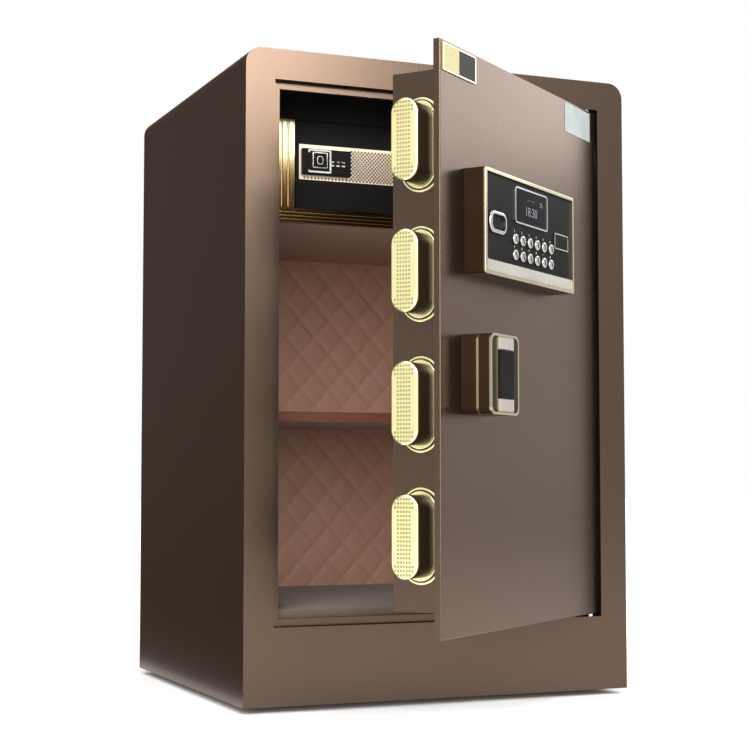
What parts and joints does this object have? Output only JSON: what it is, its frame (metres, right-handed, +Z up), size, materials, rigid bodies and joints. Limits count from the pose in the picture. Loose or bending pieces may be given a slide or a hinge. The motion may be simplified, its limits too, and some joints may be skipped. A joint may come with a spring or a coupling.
{
  "type": "home safe",
  "caption": "Tall bronze home safe with its door ajar: lock bolts, turning block handle, keypad panel, quilted lining, shelf and a small inner compartment door.",
  "frame": {"origin": "centre of the safe's base on the floor, in the middle of the four floor anchor holes", "axes": "+X to the right seen from the front, +Y back into the safe, +Z up; the door is hinged on the right and stands 37.5 degrees open at rest"},
  "size_m": [0.392, 0.5528, 0.6],
  "materials": {
    "bronze_paint": "satin dark bronze paint",
    "plain_steel": "plain turned steel",
    "foot_rubber": "matte black rubber",
    "tan_leather": "smooth tan leather cloth",
    "quilted_leather": "brown leather stitched in diamonds",
    "red_brown_leather": "red-brown leather edge",
    "pale_gold": "pale gold plating",
    "black_gloss": "polished black",
    "dark_gloss": "dark brown gloss",
    "black_plastic": "matte black",
    "bush_brass": "turned brass",
    "board_green": "circuit board green",
    "chrome_trim": "polished chrome",
    "dark_glass": "smoked glass",
    "white_label": "plain white label",
    "bolt_gold": "pale gold plating, knurled end face"
  },
  "bodies": {
    "cabinet": {"cabinet_shell": "bronze_paint", "back_plate": "bronze_paint", "front_frame": "bronze_paint", "hinge_sockets": "plain_steel", "feet": "foot_rubber", "floor_deck": "bronze_paint", "lining_floor": "tan_leather", "lining_back": "quilted_leather", "lining_sides": "tan_leather", "lining_top": "tan_leather", "shelf": "tan_leather", "shelf_edge": "red_brown_leather", "shelf_pegs": "plain_steel", "inner_box": "tan_leather", "inner_frame": "pale_gold", "top_fascia": "black_gloss"},
    "inner_door": {"inner_door_panel": "black_gloss", "inner_door_pin": "plain_steel", "inner_door_strip": "pale_gold", "inner_lock": "black_gloss"},
    "door": {"door_plate": "bronze_paint", "door_box": "bronze_paint", "box_cover": "bronze_paint", "cover_screws": "plain_steel", "hinge_blocks": "plain_steel", "bolt_collars": "pale_gold", "bolt_guides": "black_plastic", "handle_bush": "bush_brass", "panel_housing": "dark_gloss", "panel_frame": "pale_gold", "panel_fascia": "black_gloss", "keypad_board": "board_green", "display_bezel": "chrome_trim", "display_window": "dark_glass", "reader_ring": "chrome_trim", "reader_sensor": "black_gloss", "ribbed_strip": "pale_gold", "panel_badge": "chrome_trim", "name_plate": "pale_gold", "blank_label": "white_label"},
    "bolts": {"lock_bolts": "dark_gloss", "bolt_caps": "bolt_gold", "bolt_carrier": "plain_steel"},
    "handle": {"handle_spindle": "plain_steel", "handle_body": "dark_gloss", "handle_bands": "pale_gold", "handle_pads": "pale_gold", "handle_window": "black_gloss"},
    "key_1": {"key_1": "chrome_trim"},
    "key_2": {"key_2": "chrome_trim"},
    "key_3": {"key_3": "chrome_trim"},
    "key_4": {"key_4": "chrome_trim"},
    "key_5": {"key_5": "chrome_trim"},
    "key_6": {"key_6": "chrome_trim"},
    "key_7": {"key_7": "chrome_trim"},
    "key_8": {"key_8": "chrome_trim"},
    "key_9": {"key_9": "chrome_trim"},
    "key_10": {"key_10": "chrome_trim"},
    "key_11": {"key_11": "chrome_trim"},
    "key_12": {"key_12": "chrome_trim"}
  },
  "joints": [
    {"name": "door_swing", "type": "hinge", "parent": "cabinet", "child": "door", "pos_m": [0.159, -0.172, 0.324], "axis": [0, 0, 1], "range_deg": [-37.5, 72.5]},
    {"name": "handle_turn", "type": "hinge", "parent": "door", "child": "handle", "pos_m": [-0.04481, -0.33595, 0.295], "axis": [-0.6088, 0.7934, 0], "range_deg": [0, 90]},
    {"name": "bolt_slide", "type": "slide", "parent": "door", "child": "bolts", "axis": [0.7934, 0.6088, 0], "range_m": [0, 0.02513]},
    {"name": "inner_door_swing", "type": "hinge", "parent": "cabinet", "child": "inner_door", "pos_m": [0.1177, -0.1, 0.51], "axis": [0, 0, 1], "range_deg": [0, 38]},
    {"name": "key_1_press", "type": "slide", "parent": "door", "child": "key_1", "axis": [-0.6088, 0.7934, 0], "range_m": [0, 0.0012], "stiffness_N_per_m": 400},
    {"name": "key_2_press", "type": "slide", "parent": "door", "child": "key_2", "axis": [-0.6088, 0.7934, 0], "range_m": [0, 0.0012], "stiffness_N_per_m": 400},
    {"name": "key_3_press", "type": "slide", "parent": "door", "child": "key_3", "axis": [-0.6088, 0.7934, 0], "range_m": [0, 0.0012], "stiffness_N_per_m": 400},
    {"name": "key_4_press", "type": "slide", "parent": "door", "child": "key_4", "axis": [-0.6088, 0.7934, 0], "range_m": [0, 0.0012], "stiffness_N_per_m": 400},
    {"name": "key_5_press", "type": "slide", "parent": "door", "child": "key_5", "axis": [-0.6088, 0.7934, 0], "range_m": [0, 0.0012], "stiffness_N_per_m": 400},
    {"name": "key_6_press", "type": "slide", "parent": "door", "child": "key_6", "axis": [-0.6088, 0.7934, 0], "range_m": [0, 0.0012], "stiffness_N_per_m": 400},
    {"name": "key_7_press", "type": "slide", "parent": "door", "child": "key_7", "axis": [-0.6088, 0.7934, 0], "range_m": [0, 0.0012], "stiffness_N_per_m": 400},
    {"name": "key_8_press", "type": "slide", "parent": "door", "child": "key_8", "axis": [-0.6088, 0.7934, 0], "range_m": [0, 0.0012], "stiffness_N_per_m": 400},
    {"name": "key_9_press", "type": "slide", "parent": "door", "child": "key_9", "axis": [-0.6088, 0.7934, 0], "range_m": [0, 0.0012], "stiffness_N_per_m": 400},
    {"name": "key_10_press", "type": "slide", "parent": "door", "child": "key_10", "axis": [-0.6088, 0.7934, 0], "range_m": [0, 0.0012], "stiffness_N_per_m": 400},
    {"name": "key_11_press", "type": "slide", "parent": "door", "child": "key_11", "axis": [-0.6088, 0.7934, 0], "range_m": [0, 0.0012], "stiffness_N_per_m": 400},
    {"name": "key_12_press", "type": "slide", "parent": "door", "child": "key_12", "axis": [-0.6088, 0.7934, 0], "range_m": [0, 0.0012], "stiffness_N_per_m": 400}
  ],
  "couplings": [
    {"joint": "handle_turn", "follows": "bolt_slide", "rad_per_m": 62.5}
  ]
}
